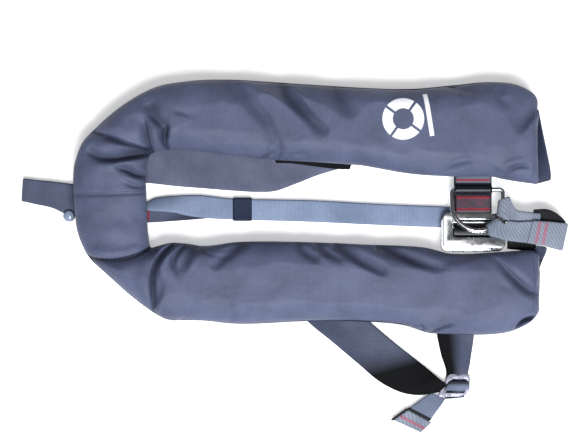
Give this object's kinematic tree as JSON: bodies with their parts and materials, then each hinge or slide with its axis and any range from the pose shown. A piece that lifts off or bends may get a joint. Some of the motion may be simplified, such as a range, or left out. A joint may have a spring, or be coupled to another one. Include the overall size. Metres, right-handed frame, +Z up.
{
  "type": "inflatable life jacket",
  "caption": "Packed inflatable life jacket: padded horseshoe cover over a folded bladder and gas inflator, with webbing harness, steel buckle, D-ring and tether loop.",
  "frame": {"origin": "on the surface the jacket lies on, under the middle of the collar's back panel", "axes": "+X from the collar to the lobes' ends, +Y to the upper lobe that carries the D-ring, +Z up out of the cover"},
  "size_m": [0.6573, 0.4225, 0.0501],
  "materials": {
    "cover_fabric": "coated nylon cover cloth, satin",
    "panel_fabric": "plain woven polyester",
    "bladder_fabric": "coated nylon, smooth",
    "grey_webbing": "ribbed polyester webbing",
    "dark_webbing": "tight polyester webbing, satin",
    "elastic": "woven elastic",
    "hook_and_loop": "hook-and-loop tape",
    "polished_steel": "polished stainless steel",
    "satin_steel": "satin steel",
    "brass_pin": "turned brass",
    "black_plastic": "moulded, matt",
    "yellow_plastic": "moulded, matt",
    "red_plastic": "moulded, gloss",
    "orange_plastic": "moulded, gloss",
    "lens_plastic": "clear pale blue, gloss",
    "pressed_paper": "pressed tablet holder"
  },
  "bodies": {
    "lobes": {"cover_upper_lobe": "cover_fabric", "cover_lower_lobe": "cover_fabric", "back_panel_upper": "panel_fabric", "back_panel_lower": "panel_fabric", "bladder_upper": "bladder_fabric", "bladder_lower": "bladder_fabric", "closure_strip_upper": "hook_and_loop", "closure_strip_lower": "hook_and_loop", "shoulder_band": "grey_webbing", "centre_strap": "grey_webbing", "waist_belt": "grey_webbing", "side_strap": "grey_webbing", "strap_tail": "grey_webbing", "tail_band": "elastic", "tail_tab": "grey_webbing", "buckle_frame": "polished_steel", "buckle_webbing": "dark_webbing", "belt_end_tab": "dark_webbing", "inflator_body": "black_plastic", "water_cartridge": "pressed_paper", "firing_pin": "brass_pin", "firing_spring": "satin_steel", "lever_pin": "satin_steel", "oral_tube": "black_plastic", "whistle": "orange_plastic"},
    "collar": {"cover_collar": "cover_fabric", "back_panel_collar": "panel_fabric", "bladder_collar": "bladder_fabric", "neck_strap": "grey_webbing", "light_body": "black_plastic", "light_lens": "lens_plastic"},
    "chest_strap": {"chest_webbing": "dark_webbing", "buckle_plate": "polished_steel"},
    "d_ring": {"d_ring": "polished_steel"},
    "tether_loop": {"tether_loop": "grey_webbing", "tether_backing": "dark_webbing"},
    "keeper": {"strap_keeper": "elastic"},
    "slider": {"slider": "satin_steel"},
    "gas_cylinder": {"gas_cylinder": "satin_steel"},
    "inflator_cap": {"inflator_cap": "yellow_plastic"},
    "firing_lever": {"firing_lever": "red_plastic"},
    "oral_valve": {"valve_plunger": "red_plastic"}
  },
  "joints": [
    {"name": "collar_fold", "type": "hinge", "parent": "lobes", "child": "collar", "pos_m": [0.05, 0, 0], "axis": [0, 1, 0], "range_deg": [0, 40]},
    {"name": "chest_strap_swing", "type": "hinge", "parent": "lobes", "child": "chest_strap", "pos_m": [0.4357, 0.018, 0.0221], "axis": [-1, 0, 0], "range_deg": [0, 40]},
    {"name": "d_ring_swing", "type": "hinge", "parent": "chest_strap", "child": "d_ring", "pos_m": [0.4405, 0.005, 0.026], "axis": [-1, 0, 0], "range_deg": [0, 70]},
    {"name": "tether_loop_swing", "type": "hinge", "parent": "d_ring", "child": "tether_loop", "pos_m": [0.46944, -0.02388, 0.03214], "axis": [-0.342, -0.9192, 0.1954], "range_deg": [0, 18]},
    {"name": "keeper_slide", "type": "slide", "parent": "lobes", "child": "keeper", "axis": [0.9993, -0.0379, 0], "range_m": [-0.09, 0.2]},
    {"name": "slider_slide", "type": "slide", "parent": "lobes", "child": "slider", "axis": [0, 1, 0], "range_m": [-0.008, 0.012]},
    {"name": "gas_cylinder_unscrew", "type": "hinge", "parent": "lobes", "child": "gas_cylinder", "pos_m": [0.445, -0.1, 0.0272], "axis": [-1, 0, 0], "continuous": true},
    {"name": "inflator_cap_unscrew", "type": "hinge", "parent": "lobes", "child": "inflator_cap", "pos_m": [0.44, -0.131, 0.0272], "axis": [-1, 0, 0], "continuous": true},
    {"name": "firing_lever_pull", "type": "hinge", "parent": "lobes", "child": "firing_lever", "pos_m": [0.4769, -0.1, 0.0272], "axis": [-1, 0, 0], "range_deg": [0, 50]},
    {"name": "oral_valve_press", "type": "slide", "parent": "lobes", "child": "oral_valve", "axis": [-1, 0, 0], "range_m": [0, 0.004], "stiffness_N_per_m": 300}
  ]
}
